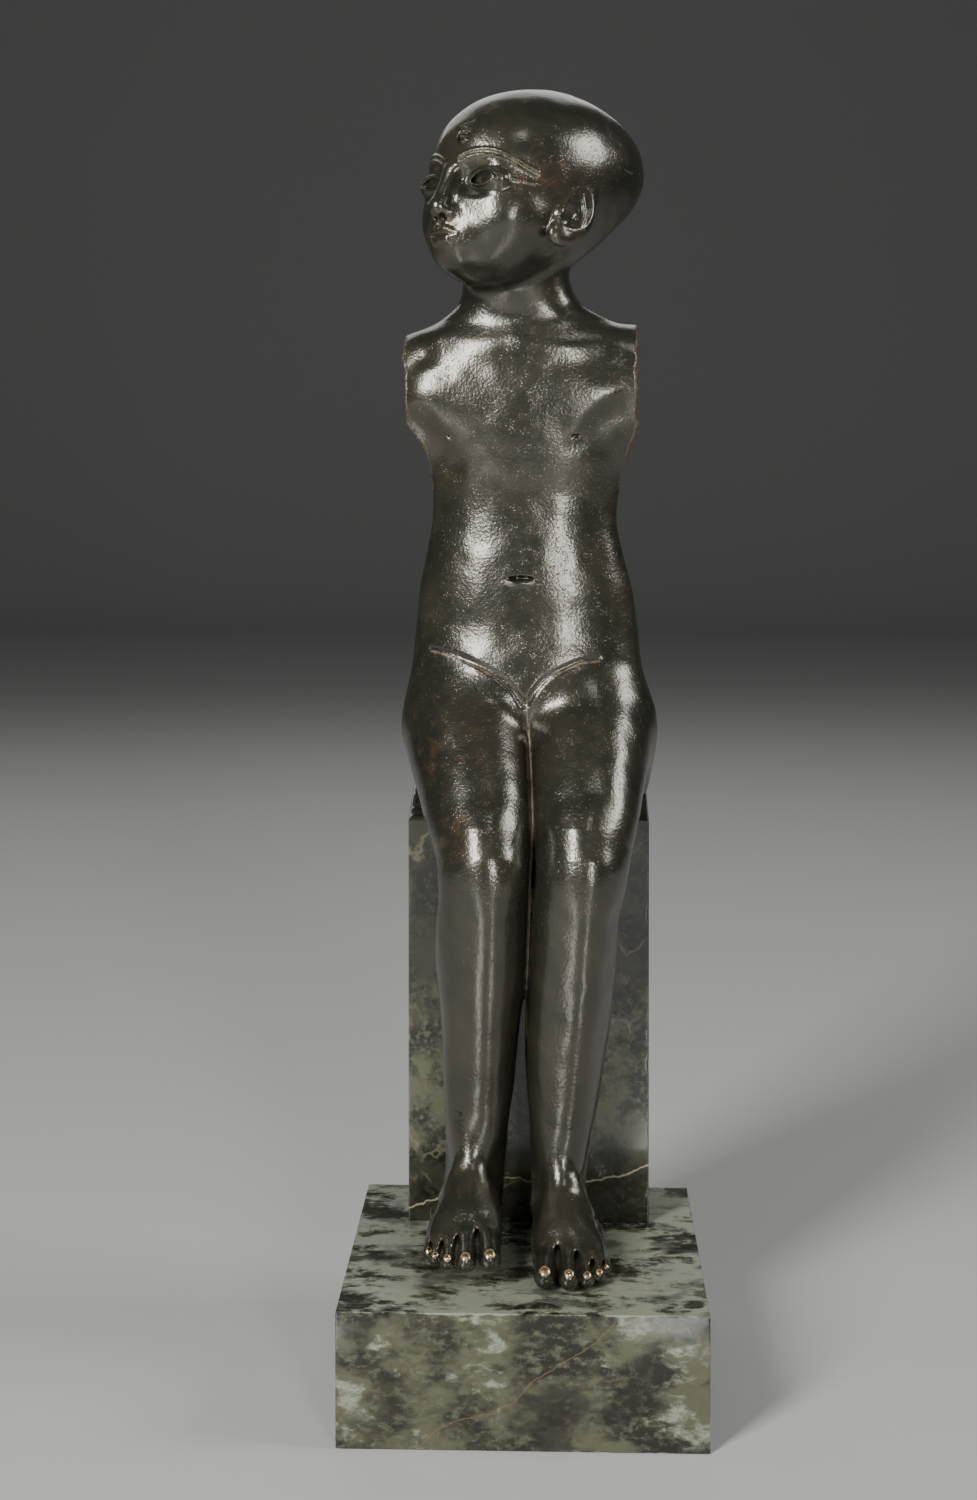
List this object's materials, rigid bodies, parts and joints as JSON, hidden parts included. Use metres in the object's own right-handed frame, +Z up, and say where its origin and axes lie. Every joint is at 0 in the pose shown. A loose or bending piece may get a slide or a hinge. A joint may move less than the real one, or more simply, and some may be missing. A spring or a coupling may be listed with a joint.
{
  "type": "ancient egyptian figurine",
  "caption": "Seated bronze figurine of a nude child with a turned head and lost arms, on a tall stone seat block over a square stone base slab.",
  "frame": {"origin": "middle of the base slab's underside", "axes": "+Z up, the child's body faces -Y, +X to the child's left"},
  "size_m": [0.068, 0.0804, 0.2564],
  "materials": {
    "bronze": "waxed dark patina on cast bronze",
    "seat_stone": "polished serpentine, mottled green and brown",
    "slab_stone": "polished serpentine, mottled green with pale veins"
  },
  "bodies": {
    "root": {"figure": "bronze", "seat_block": "seat_stone", "base_slab": "slab_stone"}
  },
  "joints": []
}
